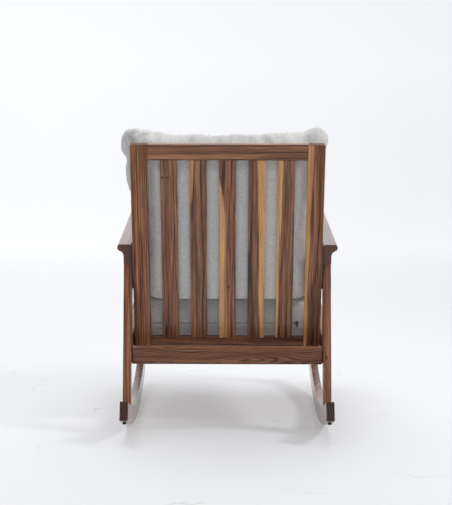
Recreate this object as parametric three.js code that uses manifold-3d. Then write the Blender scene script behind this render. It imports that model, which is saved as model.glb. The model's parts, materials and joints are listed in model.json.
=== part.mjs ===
// A wooden rocking chair with two side frames on curved runners, a slatted
// back and two loose cushions.  Millimetres, +Z up, the front faces -Y and the
// sitter's left is +X.  The origin is on the floor under the middle.

import * as THREE from 'three';
import { mergeVertices } from 'three/addons/utils/BufferGeometryUtils.js';
import Module from 'manifold-3d';

const wasm = await Module();
wasm.setup();

// ---------------------------------------------------------------- dimensions

const rad = THREE.MathUtils.degToRad;

const WIDTH = 660;             // over the outer faces of the side frames
const SIDE_THICKNESS = 26;     // runners, legs, arm stems and seat side rails
const GAP = 0.3;               // glue line between two pieces that touch

const RUNNER_RADIUS = 1052;    // underside
const RUNNER_DEPTH = 60;
const RUNNER_REAR = 22.8;      // degrees of arc behind the point that touches the floor
const RUNNER_FRONT = 26;       // degrees of arc in front of it
const RUNNER_FACET = 2;        // degrees per flat of the arc
const RUNNER_REST = 3;         // half of the wider flat that the chair stands on, degrees

const ARM_RISE = 6.3;          // degrees, the front end is the higher one
const ARM_REAR_Y = 208;        // all Y values here are measured from the floor contact
const ARM_UNDERSIDE_Z = 538;   // at the rear end
const ARM_HEIGHT = 65;
const ARM_LENGTH = 640;
const ARM_LIP = 45.5;          // width over the outward lip
const ARM_PLAN_CORNER = 20;    // rounding of the front outer corner, seen from above

const REAR_LEG = { faceY: 280.7, faceZ: 110, rake: 10.9, depth: 42 };
const FRONT_LEG = { faceY: -376, faceZ: 100, rake: -4, depth: 44 };

const SEAT_RISE = 8;           // degrees, the front of the seat is the higher end
const SEAT_Y = 130;            // rear end of the cushion on the seat slats
const SEAT_Z = 288;
const SIDE_RAIL_TOP = 24;      // above the seat slats
const SIDE_RAIL_HEIGHT = 60;
const REAR_RAIL = { y: 106.5, top: 5.5, height: 57.5, thickness: 22 };
const FRONT_RAIL = { y: -509, top: -1, height: 60, thickness: 22 };
const SEAT_SLATS = 5;
const SEAT_SLAT = { first: -455, spacing: 100, width: 70, thickness: 14 };
const CLEAT = { front: -494, rear: -10, size: 20 };

const BACK_LEAN = 13.05;       // degrees
const BACK_Y = 237.2;          // a point on the rear face of the back frame
const BACK_Z = 615.9;
const BACK_WIDTH = 601;
const BACK_TOP = 312;          // along the lean, from that point
const BACK_FOOT = -391;
const STILE_WIDTH = 53.5;
const STILE_DEPTH = 28;
const STILE_CORNER = 7;
const TOP_RAIL_HEIGHT = 50;
const LOWER_RAIL = { top: -333, height: 47 };
const RAIL_DEPTH = 22;
const RAIL_INSET = 2;
const BACK_SLATS = 5;
const BACK_SLAT_WIDTH = 52.7;
const BACK_SLAT_DEPTH = 13;
const BACK_SLAT_INSET = 2.5;

// Sizes of the tenons along X, Y and Z of the group they stand in.
const LEG_TENON = [9, 26, 44];
const SIDE_RAIL_TENON = [9, 40, 40];
const SLAT_TENON = [38, 7, 30];
const BACK_RAIL_TENON = { length: 40, thickness: 8, shoulder: 8 };

const SEAT_CUSHION = { width: 586, depth: 555, height: 118, corner: 42, edge: 14 };
const BACK_CUSHION = { foot: -227, width: 596, height: 558, thickness: 130, crown: 190, seam: 10 };
const ZIPPER = { x: 4, z: 50, length: 478, tape: 24, thickness: 1.2 };
const COIL = { width: 5, thickness: 2, ends: 4 };
const SLIDER = { width: 9, height: 13, thickness: 4, rest: -226 };
const BAIL = { width: 2.4, depth: 5, height: 6, below: 4, reach: 1.6, hole: [4, 2.4, 3] };
const PULL = { width: 6, length: 15, thickness: 1.6, eye: [3.2, 4, 4.4] };

const BUMPER = { diameter: 12, height: 6, fromEnd: 40 };
const BOLT = { shank: 6, head: 13, headHeight: 5, socket: 5, socketDepth: 3, sunk: 1 };
const BACK_BOLT = { length: 54, upper: -134, lower: -353 };
const RAIL_BOLT_LENGTH = 65;
const SPACER_RADIUS = 9;
const SPACER_STRIP = { from: -163, to: -12 };   // along the back, on its upper bolt

const SIDES = [['left', 1], ['right', -1]];
const INNER_X = WIDTH / 2 - SIDE_THICKNESS;
const SIDE_X = (WIDTH - SIDE_THICKNESS) / 2;
const CENTRE_Z = RUNNER_RADIUS * Math.cos(rad(RUNNER_REST));

// ----------------------------------------------------------------- materials

const paint = (color, roughness, metalness = 0) =>
  new THREE.MeshStandardMaterial({ color, roughness, metalness });

const walnut = paint(0x7d5a48, 0.45);
const linen = paint(0xdcdcdb, 0.95);
const rubber = paint(0x1b1b1c, 0.8);
const steel = paint(0x8c8f92, 0.35, 1);
const nylon = paint(0x2a2a2c, 0.6);
const zipperTape = paint(0xc9c9c8, 0.9);
const zipperMetal = paint(0x5a5b5e, 0.4, 1);

// ------------------------------------------------------------ scene and solids

const root = new THREE.Group();
const chair = new THREE.Group();     // its origin is where the runners touch the floor
const seat = new THREE.Group();      // tilted with the seat, origin at the rear of the slats' top
const back = new THREE.Group();      // tilted with the back, y = 0 is its rear face
root.add(chair);
chair.add(seat, back);
chair.position.y = RUNNER_RADIUS * (Math.sin(rad(RUNNER_FRONT)) - Math.sin(rad(RUNNER_REAR))) / 2;
seat.position.set(0, SEAT_Y, SEAT_Z);
seat.rotation.x = -rad(SEAT_RISE);
back.position.set(0, BACK_Y, BACK_Z);
back.rotation.x = -rad(BACK_LEAN);

function piece(name, parent, geometry, material, x = 0, y = 0, z = 0) {
  const mesh = new THREE.Mesh(geometry, material);
  mesh.name = name;
  mesh.position.set(x, y, z);
  parent.add(mesh);
  return mesh;
}

function solid(mesh) {
  mesh.updateWorldMatrix(true, false);
  const geometry = mesh.geometry.clone().applyMatrix4(mesh.matrixWorld);
  geometry.deleteAttribute('normal');
  geometry.deleteAttribute('uv');
  const merged = mergeVertices(geometry, 1e-4);
  const vertProperties = new Float32Array(merged.attributes.position.array);
  const triVerts = new Uint32Array(merged.index.array);
  return new wasm.Manifold(new wasm.Mesh({ numProp: 3, vertProperties, triVerts }));
}

function setSolid(mesh, shape) {
  const result = shape.getMesh();
  const geometry = new THREE.BufferGeometry();
  const positions = new Float32Array(result.vertProperties);
  geometry.setAttribute('position', new THREE.BufferAttribute(positions, 3));
  geometry.setIndex(new THREE.BufferAttribute(new Uint32Array(result.triVerts), 1));
  geometry.applyMatrix4(mesh.matrixWorld.clone().invert());
  mesh.geometry = geometry;
}

function cutFrom(mesh, cutter) {
  setSolid(mesh, solid(mesh).subtract(solid(cutter)));
}

function join(mesh, addition) {
  setSolid(mesh, solid(mesh).add(solid(addition)));
}

// A tool is a mesh that never joins the scene: it is placed in a group's own
// axes and only adds to, or cuts, the pieces.
function tool(frame, geometry, x, y, z) {
  const mesh = new THREE.Mesh(geometry);
  const holder = new THREE.Group();
  frame.updateWorldMatrix(true, false);
  frame.matrixWorld.decompose(holder.position, holder.quaternion, holder.scale);
  mesh.position.set(x, y, z);
  holder.add(mesh);
  return mesh;
}

function box(width, depth, height) {
  return new THREE.BoxGeometry(width, depth, height);
}

// A tenon grows out of one piece and sits in a mortise of the other.
function tenon(from, into, frame, size, x, y, z) {
  const [width, depth, height] = size;
  join(from, tool(frame, box(width, depth, height), x, y, z));
  const mortise = box(width + 2 * GAP, depth + 2 * GAP, height + 2 * GAP);
  cutFrom(into, tool(frame, mortise, x, y, z));
}

// ------------------------------------------------------------ extruded outlines

// An outline of [y, z] points, extruded along X and centred on x = 0.
function sideOutline(points, thickness) {
  const shape = new THREE.Shape(points.map(([y, z]) => new THREE.Vector2(y, z)));
  const geometry = new THREE.ExtrudeGeometry(shape, { depth: thickness, bevelEnabled: false });
  geometry.translate(0, 0, -thickness / 2);
  const axes = new THREE.Matrix4().makeBasis(
    new THREE.Vector3(0, 1, 0), new THREE.Vector3(0, 0, 1), new THREE.Vector3(1, 0, 0));
  return geometry.applyMatrix4(axes);
}

// A shape in X and Z, extruded towards the front from y = 0.
function frontOutline(shape, depth) {
  const options = { depth, curveSegments: 6, bevelEnabled: false };
  const geometry = new THREE.ExtrudeGeometry(shape, options);
  const axes = new THREE.Matrix4().makeBasis(
    new THREE.Vector3(1, 0, 0), new THREE.Vector3(0, 0, 1), new THREE.Vector3(0, -1, 0));
  return geometry.applyMatrix4(axes);
}

// Where two lines in the side plane meet; a line is a point and a direction.
function meet(a, b) {
  const cross = a.dy * b.dz - a.dz * b.dy;
  const t = ((b.y - a.y) * b.dz - (b.z - a.z) * b.dy) / cross;
  return [a.y + t * a.dy, a.z + t * a.dz];
}

// Where a steep line meets the top of a runner.
function meetRunner(line) {
  const radius = RUNNER_RADIUS - RUNNER_DEPTH - GAP;
  let z = RUNNER_DEPTH;
  for (let pass = 0; pass < 30; pass += 1) {
    const y = line.y + (z - line.z) * line.dy / line.dz;
    z = CENTRE_Z - Math.sqrt(radius * radius - y * y);
  }
  return [line.y + (z - line.z) * line.dy / line.dz, z];
}

// ----------------------------------------------------------------- side frames

function runnerArc(radius, from, to, flat = 0) {
  const angles = [from];
  for (let k = Math.ceil(from / RUNNER_FACET); k < to / RUNNER_FACET; k += 1) {
    const angle = (k + 0.5) * RUNNER_FACET;
    const inside = angle > from + 0.3 && angle < to - 0.3;
    if (inside && Math.abs(angle) > flat - 0.1) angles.push(angle);
  }
  angles.push(to);
  return angles.map((angle) => [radius * Math.sin(rad(angle)), CENTRE_Z - radius * Math.cos(rad(angle))]);
}

function runner(side, sign) {
  const under = runnerArc(RUNNER_RADIUS, -RUNNER_FRONT, RUNNER_REAR, RUNNER_REST);
  const over = runnerArc(RUNNER_RADIUS - RUNNER_DEPTH, -RUNNER_FRONT, RUNNER_REAR);
  const geometry = sideOutline([...under, ...over.reverse()], SIDE_THICKNESS);
  return piece(`runner_${side}`, chair, geometry, walnut, sign * SIDE_X);
}

function bumper(side, sign) {
  const radius = BUMPER.diameter / 2;
  const top = BUMPER.height - GAP;
  const profile = [[0, 0], [radius - 1.5, 0], [radius, 1.5], [radius, top], [0, top]];
  const geometry = new THREE.LatheGeometry(profile.map(([r, h]) => new THREE.Vector2(r, h)), 20);
  geometry.rotateX(Math.PI / 2);
  const angle = rad(RUNNER_REAR) - BUMPER.fromEnd / RUNNER_RADIUS;
  const reach = RUNNER_RADIUS * Math.cos(rad(RUNNER_FACET / 2)) + BUMPER.height + GAP;
  const mesh = piece(`runner_bumper_${side}`, chair, geometry, rubber,
    sign * SIDE_X, reach * Math.sin(angle), CENTRE_Z - reach * Math.cos(angle));
  mesh.rotation.x = angle;
  return mesh;
}

function armUnderside() {
  const slope = rad(ARM_RISE);
  return { y: ARM_REAR_Y, z: ARM_UNDERSIDE_Z - GAP, dy: -Math.cos(slope), dz: Math.sin(slope) };
}

// The two long faces of a leg, as lines in the side plane.
function legFaces({ faceY, faceZ, rake, depth }) {
  const dy = -Math.sin(rad(rake));
  const dz = Math.cos(rad(rake));
  const rear = { y: faceY, z: faceZ, dy, dz };
  const front = { y: faceY - depth / dz, z: faceZ, dy, dz };
  return { rear, front };
}

function leg(name, sign, dimensions) {
  const { rear, front } = legFaces(dimensions);
  const footRear = meetRunner(rear);
  const footFront = meetRunner(front);
  const footMiddle = meetRunner({ ...rear, y: (rear.y + front.y) / 2 });
  const outline = [footFront, footMiddle, footRear, meet(rear, armUnderside()), meet(front, armUnderside())];
  return piece(name, chair, sideOutline(outline, SIDE_THICKNESS), walnut, sign * SIDE_X);
}

// The arm's section: a stem that flares into a rounded lip on the outside.
function armSection(sign) {
  const x = (value) => sign * value;
  const shape = new THREE.Shape();
  shape.moveTo(x(0), 0);
  shape.lineTo(x(0), ARM_HEIGHT - 16);
  shape.quadraticCurveTo(x(0), ARM_HEIGHT, x(13), ARM_HEIGHT);
  shape.lineTo(x(34), ARM_HEIGHT);
  shape.quadraticCurveTo(x(ARM_LIP), ARM_HEIGHT, x(ARM_LIP), ARM_HEIGHT - 11);
  shape.quadraticCurveTo(x(ARM_LIP), ARM_HEIGHT - 19, x(38), ARM_HEIGHT - 22);
  shape.quadraticCurveTo(x(SIDE_THICKNESS), ARM_HEIGHT - 27, x(SIDE_THICKNESS), ARM_HEIGHT - 40);
  shape.lineTo(x(SIDE_THICKNESS), 0);
  shape.closePath();
  return shape;
}

function arm(side, sign) {
  const geometry = frontOutline(armSection(sign), ARM_LENGTH);
  const mesh = piece(`arm_${side}`, chair, geometry, walnut, sign * INNER_X, ARM_REAR_Y, ARM_UNDERSIDE_Z);
  mesh.rotation.x = -rad(ARM_RISE);
  const plan = new THREE.Shape();
  const corner = ARM_PLAN_CORNER;
  plan.moveTo(-sign * 5, 5);
  plan.lineTo(-sign * 5, -ARM_LENGTH);
  plan.lineTo(sign * (ARM_LIP - corner), -ARM_LENGTH);
  plan.quadraticCurveTo(sign * ARM_LIP, -ARM_LENGTH, sign * ARM_LIP, corner - ARM_LENGTH);
  plan.lineTo(sign * (ARM_LIP + 5), corner - ARM_LENGTH);
  plan.lineTo(sign * (ARM_LIP + 5), 5);
  plan.closePath();
  const planGeometry = new THREE.ExtrudeGeometry(plan, { depth: 2 * ARM_HEIGHT, bevelEnabled: false });
  planGeometry.translate(0, 0, -ARM_HEIGHT / 2);
  mesh.updateWorldMatrix(true, false);
  setSolid(mesh, solid(mesh).intersect(solid(tool(mesh, planGeometry, 0, 0, 0))));
  return mesh;
}

// A line along the seat's slope, at a height above the slats.
function seatLine(height) {
  const slope = rad(SEAT_RISE);
  return {
    y: SEAT_Y + height * Math.sin(slope),
    z: SEAT_Z + height * Math.cos(slope),
    dy: -Math.cos(slope),
    dz: Math.sin(slope),
  };
}

function sideRail(side, sign) {
  const upper = seatLine(SIDE_RAIL_TOP);
  const lower = seatLine(SIDE_RAIL_TOP - SIDE_RAIL_HEIGHT);
  const rearFace = legFaces(REAR_LEG).front;
  const frontFace = legFaces(FRONT_LEG).rear;
  rearFace.y -= GAP;
  frontFace.y += GAP;
  const outline = [
    meet(lower, frontFace), meet(lower, rearFace), meet(upper, rearFace), meet(upper, frontFace),
  ];
  return piece(`seat_side_rail_${side}`, chair, sideOutline(outline, SIDE_THICKNESS), walnut, sign * SIDE_X);
}

function sideFrame(side, sign) {
  const pieces = {
    runner: runner(side, sign),
    rearLeg: leg(`rear_leg_${side}`, sign, REAR_LEG),
    frontLeg: leg(`front_leg_${side}`, sign, FRONT_LEG),
    arm: arm(side, sign),
    rail: sideRail(side, sign),
  };
  bumper(side, sign);
  const legs = [[pieces.rearLeg, REAR_LEG], [pieces.frontLeg, FRONT_LEG]];
  for (const [mesh, dimensions] of legs) {
    const axis = new THREE.Group();
    const { rear, front } = legFaces(dimensions);
    const foot = meetRunner({ ...rear, y: (rear.y + front.y) / 2 });
    const head = meet({ ...rear, y: (rear.y + front.y) / 2 }, armUnderside());
    axis.rotation.x = rad(dimensions.rake);
    axis.position.set(0, foot[0], foot[1]);
    chair.add(axis);
    const length = Math.hypot(head[0] - foot[0], head[1] - foot[1]);
    tenon(mesh, pieces.runner, axis, LEG_TENON, sign * SIDE_X, 0, 0);
    tenon(mesh, pieces.arm, axis, LEG_TENON, sign * SIDE_X, 0, length);
    chair.remove(axis);
  }
  const railMiddle = SIDE_RAIL_TOP - SIDE_RAIL_HEIGHT / 2;
  const shoulders = [[pieces.rearLeg, legFaces(REAR_LEG).front], [pieces.frontLeg, legFaces(FRONT_LEG).rear]];
  for (const [mesh, face] of shoulders) {
    const y = (meet(seatLine(railMiddle), face)[0] - SEAT_Y) / Math.cos(rad(SEAT_RISE));
    tenon(pieces.rail, mesh, seat, SIDE_RAIL_TENON, sign * SIDE_X, y, railMiddle);
  }
  return pieces;
}

// ------------------------------------------------------------------------ seat

function seatRail(name, { y, top, height, thickness }) {
  const length = 2 * (INNER_X - GAP);
  return piece(name, seat, box(length, thickness, height), walnut, 0, y, top - height / 2);
}

function seatCleat(side, sign) {
  const length = CLEAT.rear - CLEAT.front;
  const x = sign * (INNER_X - GAP - CLEAT.size / 2);
  const z = -SEAT_SLAT.thickness - GAP - CLEAT.size / 2;
  const middle = (CLEAT.rear + CLEAT.front) / 2;
  return piece(`seat_cleat_${side}`, seat, box(CLEAT.size, length, CLEAT.size), walnut, x, middle, z);
}

function seatSlat(index, cleats) {
  const y = SEAT_SLAT.first + SEAT_SLAT.spacing * index;
  const length = 2 * (INNER_X - 1);
  const geometry = box(length, SEAT_SLAT.width, SEAT_SLAT.thickness);
  const slat = piece(`seat_slat_${index + 1}`, seat, geometry, walnut, 0, y, -SEAT_SLAT.thickness / 2);
  for (const [side, sign] of SIDES) {
    const x = sign * (INNER_X - CLEAT.size / 2 - 1);
    const hole = tool(seat, screwGeometry(GAP), x, y, 0);
    cutFrom(slat, hole);
    cutFrom(cleats[side], hole);
    piece(`slat_screw_${index + 1}_${side}`, seat, screwGeometry(0), steel, x, y, -GAP);
  }
  return slat;
}

// A countersunk wood screw standing on its point, its head flush with z = 0.
function screwGeometry(growth) {
  const profile = [
    [0, -27 - growth], [1.6 + growth, -24 - growth], [1.8 + growth, -5],
    [4 + growth, -1.2], [4 + growth, 2 * growth], [0, 2 * growth],
  ];
  const geometry = new THREE.LatheGeometry(profile.map(([r, h]) => new THREE.Vector2(r, h)), 12);
  return geometry.rotateX(Math.PI / 2);
}

// ------------------------------------------------------------------- back frame

function backStile(side, sign) {
  const outer = BACK_WIDTH / 2;
  const inner = outer - STILE_WIDTH;
  const shape = new THREE.Shape();
  shape.moveTo(sign * inner, BACK_FOOT);
  shape.lineTo(sign * outer, BACK_FOOT);
  shape.lineTo(sign * outer, BACK_TOP - STILE_CORNER);
  shape.quadraticCurveTo(sign * outer, BACK_TOP, sign * (outer - STILE_CORNER), BACK_TOP);
  shape.lineTo(sign * inner, BACK_TOP);
  shape.closePath();
  return piece(`back_stile_${side}`, back, frontOutline(shape, STILE_DEPTH), walnut);
}

function backRail(name, top, height) {
  const length = BACK_WIDTH - 2 * STILE_WIDTH - 2 * GAP;
  const y = -RAIL_INSET - RAIL_DEPTH / 2;
  return piece(name, back, box(length, RAIL_DEPTH, height), walnut, 0, y, top - height / 2);
}

function backFrame() {
  const stiles = SIDES.map(([side, sign]) => backStile(side, sign));
  const topRail = backRail('back_top_rail', BACK_TOP, TOP_RAIL_HEIGHT);
  const lowerRail = backRail('back_lower_rail', LOWER_RAIL.top, LOWER_RAIL.height);
  const innerHalf = BACK_WIDTH / 2 - STILE_WIDTH;
  const railMiddle = -RAIL_INSET - RAIL_DEPTH / 2;
  const rails = [
    [topRail, BACK_TOP - TOP_RAIL_HEIGHT / 2, TOP_RAIL_HEIGHT],
    [lowerRail, LOWER_RAIL.top - LOWER_RAIL.height / 2, LOWER_RAIL.height],
  ];
  const { length, thickness, shoulder } = BACK_RAIL_TENON;
  for (const [rail, z, height] of rails) {
    const size = [length, thickness, height - 2 * shoulder];
    SIDES.forEach(([, sign], index) => {
      tenon(rail, stiles[index], back, size, sign * innerHalf, railMiddle, z);
    });
  }
  const space = (2 * innerHalf - BACK_SLATS * BACK_SLAT_WIDTH) / (BACK_SLATS + 1);
  const foot = LOWER_RAIL.top;
  const head = BACK_TOP - TOP_RAIL_HEIGHT;
  const y = -BACK_SLAT_INSET - BACK_SLAT_DEPTH / 2;
  for (let index = 0; index < BACK_SLATS; index += 1) {
    const x = innerHalf - space - BACK_SLAT_WIDTH / 2 - index * (space + BACK_SLAT_WIDTH);
    const geometry = box(BACK_SLAT_WIDTH, BACK_SLAT_DEPTH, head - foot - 2 * GAP);
    const slat = piece(`back_slat_${index + 1}`, back, geometry, walnut, x, y, (head + foot) / 2);
    tenon(slat, lowerRail, back, SLAT_TENON, x, y, foot);
    tenon(slat, topRail, back, SLAT_TENON, x, y, head);
  }
  return stiles;
}

// -------------------------------------------------------------------- fasteners

// A socket-head bolt along +X, its head outermost; grown, it is its own hole.
function boltGeometry(length, growth) {
  const shank = BOLT.shank / 2 + growth;
  const head = BOLT.head / 2 + growth;
  const headBase = -BOLT.headHeight - growth;
  const profile = [
    [0, -length - growth], [shank, -length - growth], [shank, headBase], [head, headBase],
    [head, 10 * growth], [0, 10 * growth],
  ];
  const geometry = new THREE.LatheGeometry(profile.map(([r, h]) => new THREE.Vector2(r, h)), 20);
  return geometry.rotateZ(-Math.PI / 2);
}

function bolt(name, sign, y, z, length, holes) {
  const place = (geometry) => (sign > 0 ? geometry : geometry.rotateZ(Math.PI));
  const x = sign * (WIDTH / 2 - BOLT.sunk);
  for (const mesh of holes) cutFrom(mesh, tool(chair, place(boltGeometry(length, GAP)), x, y, z));
  const mesh = piece(name, chair, place(boltGeometry(length, 0)), steel, x, y, z);
  const radius = BOLT.socket / 2;
  const socket = new THREE.CylinderGeometry(radius, radius, 2 * BOLT.socketDepth, 6).rotateZ(Math.PI / 2);
  cutFrom(mesh, tool(chair, socket, x, y, z));
  return mesh;
}

// A spacer washer on the lower bolt, in the gap between the back and a side frame.
function spacerWasher(name, sign, y, z) {
  const from = BACK_WIDTH / 2 + GAP;
  const to = INNER_X - GAP;
  const bore = BOLT.shank / 2 + GAP;
  const outer = SPACER_RADIUS;
  const profile = [[bore, from], [outer, from], [outer, to], [bore, to], [bore, from]];
  const geometry = new THREE.LatheGeometry(profile.map(([r, h]) => new THREE.Vector2(r, h)), 20);
  geometry.rotateZ(-Math.PI / 2);
  if (sign < 0) geometry.rotateZ(Math.PI);
  return piece(name, chair, geometry, nylon, 0, y, z);
}

// A spacer strip fills the same gap above, along the stile and behind the arm.
function spacerStrip(name, sign, y, z) {
  const thickness = INNER_X - BACK_WIDTH / 2 - 2 * GAP;
  const x = sign * (INNER_X + BACK_WIDTH / 2) / 2;
  const strip = box(thickness, 2 * SPACER_RADIUS, SPACER_STRIP.to - SPACER_STRIP.from);
  const middle = (SPACER_STRIP.from + SPACER_STRIP.to) / 2;
  const mesh = piece(name, back, strip, nylon, x, -STILE_DEPTH / 2, middle);
  const bore = BOLT.shank / 2 + GAP;
  const drill = new THREE.CylinderGeometry(bore, bore, 4 * thickness, 20).rotateZ(Math.PI / 2);
  cutFrom(mesh, tool(chair, drill, x, y, z));
  return mesh;
}

// A point of a tilted group's side plane, in the chair's own axes.
function inChair(group, y, z) {
  group.updateMatrix();
  const point = new THREE.Vector3(0, y, z).applyMatrix4(group.matrix);
  return [point.y, point.z];
}

function fasteners(frames, stiles, rearRail, frontRail) {
  const upper = inChair(back, -STILE_DEPTH / 2, BACK_BOLT.upper);
  const lower = inChair(back, -STILE_DEPTH / 2, BACK_BOLT.lower);
  const rear = inChair(seat, REAR_RAIL.y, REAR_RAIL.top - REAR_RAIL.height / 2);
  const front = inChair(seat, FRONT_RAIL.y, FRONT_RAIL.top - FRONT_RAIL.height / 2);
  SIDES.forEach(([side, sign], index) => {
    const { rearLeg, frontLeg, rail } = frames[index];
    bolt(`back_bolt_upper_${side}`, sign, ...upper, BACK_BOLT.length, [rearLeg, stiles[index]]);
    bolt(`back_bolt_lower_${side}`, sign, ...lower, BACK_BOLT.length, [rail, stiles[index]]);
    spacerStrip(`back_spacer_upper_${side}`, sign, ...upper);
    spacerWasher(`back_spacer_lower_${side}`, sign, ...lower);
    bolt(`rear_rail_bolt_${side}`, sign, ...rear, RAIL_BOLT_LENGTH, [rearLeg, rearRail]);
    bolt(`front_rail_bolt_${side}`, sign, ...front, RAIL_BOLT_LENGTH, [frontLeg, frontRail]);
  });
}

// --------------------------------------------------------------------- cushions

function seatCushion() {
  const { width, depth, height, corner, edge } = SEAT_CUSHION;
  const x = width / 2 - edge;
  const y = depth - 2 * edge;
  const shape = new THREE.Shape();
  shape.moveTo(x - corner, 0);
  shape.quadraticCurveTo(x, 0, x, corner);
  shape.lineTo(x, y - corner);
  shape.quadraticCurveTo(x, y, x - corner, y);
  shape.lineTo(corner - x, y);
  shape.quadraticCurveTo(-x, y, -x, y - corner);
  shape.lineTo(-x, corner);
  shape.quadraticCurveTo(-x, 0, corner - x, 0);
  shape.closePath();
  const geometry = new THREE.ExtrudeGeometry(shape, {
    depth: height - 2 * edge, curveSegments: 5,
    bevelEnabled: true, bevelThickness: edge, bevelSize: edge, bevelSegments: 3,
  });
  return piece('seat_cushion', seat, geometry, linen, 0, edge - depth, edge + 0.5);
}

// A knife-edged cushion: both faces swell from a thin seam to the full thickness.
function backCushion() {
  const { foot, width, height, thickness, crown, seam } = BACK_CUSHION;
  const x = width / 2 - crown;
  const shape = new THREE.Shape();
  shape.moveTo(-x, foot + crown);
  shape.lineTo(x, foot + crown);
  shape.lineTo(x, foot + height - crown);
  shape.lineTo(-x, foot + height - crown);
  shape.closePath();
  const swell = (thickness - seam) / 2;
  const geometry = new THREE.ExtrudeGeometry(shape, {
    depth: seam, bevelEnabled: true, bevelThickness: swell, bevelSize: crown, bevelSegments: 6,
  });
  const axes = new THREE.Matrix4().makeBasis(
    new THREE.Vector3(1, 0, 0), new THREE.Vector3(0, 0, 1), new THREE.Vector3(0, -1, 0));
  geometry.applyMatrix4(axes);
  return piece('back_cushion', back, geometry, linen, 0, -STILE_DEPTH - 1 - swell, 0);
}

// ----------------------------------------------------------------------- zipper

function zipper() {
  const { x, z, length, tape, thickness } = ZIPPER;
  const strip = piece('seat_zipper', seat, box(length, thickness, tape), zipperTape,
    x, GAP + thickness / 2, z);
  const coilY = GAP + thickness + COIL.thickness / 4;
  join(strip, tool(seat, box(length - 2 * COIL.ends, COIL.thickness, COIL.width), x, coilY, z));

  const sliderY = coilY + COIL.thickness / 2 + GAP + SLIDER.thickness / 2;
  const slider = piece('zipper_slider', seat, box(SLIDER.width, SLIDER.thickness, SLIDER.height),
    zipperMetal, SLIDER.rest, sliderY, z);
  const bailZ = z + SLIDER.height / 2 - BAIL.below;
  const bailY = sliderY + SLIDER.thickness / 2 + BAIL.reach;
  join(slider, tool(seat, box(BAIL.width, BAIL.depth, BAIL.height), SLIDER.rest, bailY, bailZ));
  cutFrom(slider, tool(seat, box(...BAIL.hole), SLIDER.rest, bailY, bailZ));

  // The pull hangs plumb from the bail, so it is placed in the chair's upright axes.
  const [pinY, pinZ] = inChair(seat, bailY, bailZ);
  const bar = PULL.thickness / 2;
  const pull = piece('zipper_pull', chair, box(PULL.width, PULL.thickness, PULL.length), zipperMetal,
    SLIDER.rest, pinY, pinZ + bar - PULL.length / 2);
  cutFrom(pull, tool(chair, box(...PULL.eye), SLIDER.rest, pinY, pinZ - bar - PULL.eye[2] / 2));
}

// --------------------------------------------------------------------- assembly

const frames = SIDES.map(([side, sign]) => sideFrame(side, sign));
const rearRail = seatRail('rear_rail', REAR_RAIL);
const frontRail = seatRail('front_rail', FRONT_RAIL);
const cleats = Object.fromEntries(SIDES.map(([side, sign]) => [side, seatCleat(side, sign)]));
for (let index = 0; index < SEAT_SLATS; index += 1) seatSlat(index, cleats);
const stiles = backFrame();
fasteners(frames, stiles, rearRail, frontRail);
seatCushion();
backCushion();
zipper();

export default root;
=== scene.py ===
"""A walnut rocking chair with loose linen cushions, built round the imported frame."""

import json
import math
import bpy
from mathutils import Matrix, Vector, noise


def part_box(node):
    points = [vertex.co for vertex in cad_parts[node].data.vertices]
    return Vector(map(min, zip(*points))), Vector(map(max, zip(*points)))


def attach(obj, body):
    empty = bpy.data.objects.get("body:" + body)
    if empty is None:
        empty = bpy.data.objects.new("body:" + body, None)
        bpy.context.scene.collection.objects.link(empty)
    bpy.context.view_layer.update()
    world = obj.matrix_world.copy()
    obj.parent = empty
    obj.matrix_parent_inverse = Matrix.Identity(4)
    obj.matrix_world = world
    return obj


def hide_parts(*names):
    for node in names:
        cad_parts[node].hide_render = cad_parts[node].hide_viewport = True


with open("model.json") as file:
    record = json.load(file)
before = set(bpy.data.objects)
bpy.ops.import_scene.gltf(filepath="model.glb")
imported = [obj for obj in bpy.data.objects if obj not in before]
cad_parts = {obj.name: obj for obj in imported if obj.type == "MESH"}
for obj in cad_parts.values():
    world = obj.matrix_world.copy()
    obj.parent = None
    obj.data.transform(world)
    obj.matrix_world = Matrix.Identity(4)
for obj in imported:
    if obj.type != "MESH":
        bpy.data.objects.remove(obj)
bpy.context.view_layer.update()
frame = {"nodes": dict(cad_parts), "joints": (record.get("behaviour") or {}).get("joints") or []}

nodes = frame["nodes"]
joints = {joint["name"]: joint for joint in frame["joints"]}
X = Vector((1, 0, 0))


# ---------------------------------------------------------------- local axes

class Axes:
    """Right-handed axes of a tilted part: x across, y to the rear, z up along its slope."""

    def __init__(self, up, origin=(0, 0, 0)):
        self.z = Vector(up).normalized()
        self.y = self.z.cross(X).normalized()
        self.origin = Vector(origin)

    def world(self, x, y, z):
        return self.origin + X * x + self.y * y + self.z * z

    def local(self, point):
        offset = Vector(point) - self.origin
        return offset.x, offset.dot(self.y), offset.dot(self.z)

    def extent(self, node):
        """Lowest and highest local corner of a CAD node."""
        places = [self.local(v.co) for v in nodes[node].data.vertices]
        return [min(p[i] for p in places) for i in range(3)], [max(p[i] for p in places) for i in range(3)]


# The back frame leans along the way its cushion lifts out, and y = 0 is its rear face.
BACK = Axes(joints["back_cushion_lift_out"]["axis"])
stile_low, stile_high = BACK.extent("back_stile_left")
BACK.origin = BACK.world(0, stile_high[1], stile_high[2])
STILE_DEPTH = stile_high[1] - stile_low[1]
STILE_INNER = stile_low[0]

# The seat rises towards the front along the way its cushion slides out; the
# origin is the foot of the cushion's rear face.
slide = Vector(joints["seat_cushion_lift_out"]["axis"])
SEAT = Axes(X.cross(-slide))
seat_low, seat_high = SEAT.extent("seat_cushion")
SEAT.origin = SEAT.world(0, seat_high[1], seat_low[2])
SEAT_WIDTH = seat_high[0] - seat_low[0]
SEAT_LENGTH = seat_high[1] - seat_low[1]
SEAT_HEIGHT = seat_high[2] - seat_low[2]
SEAT_LOFT = 0.010    # how far the soft case stands above the plain cushion


# ------------------------------------------------------------- node trees

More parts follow.
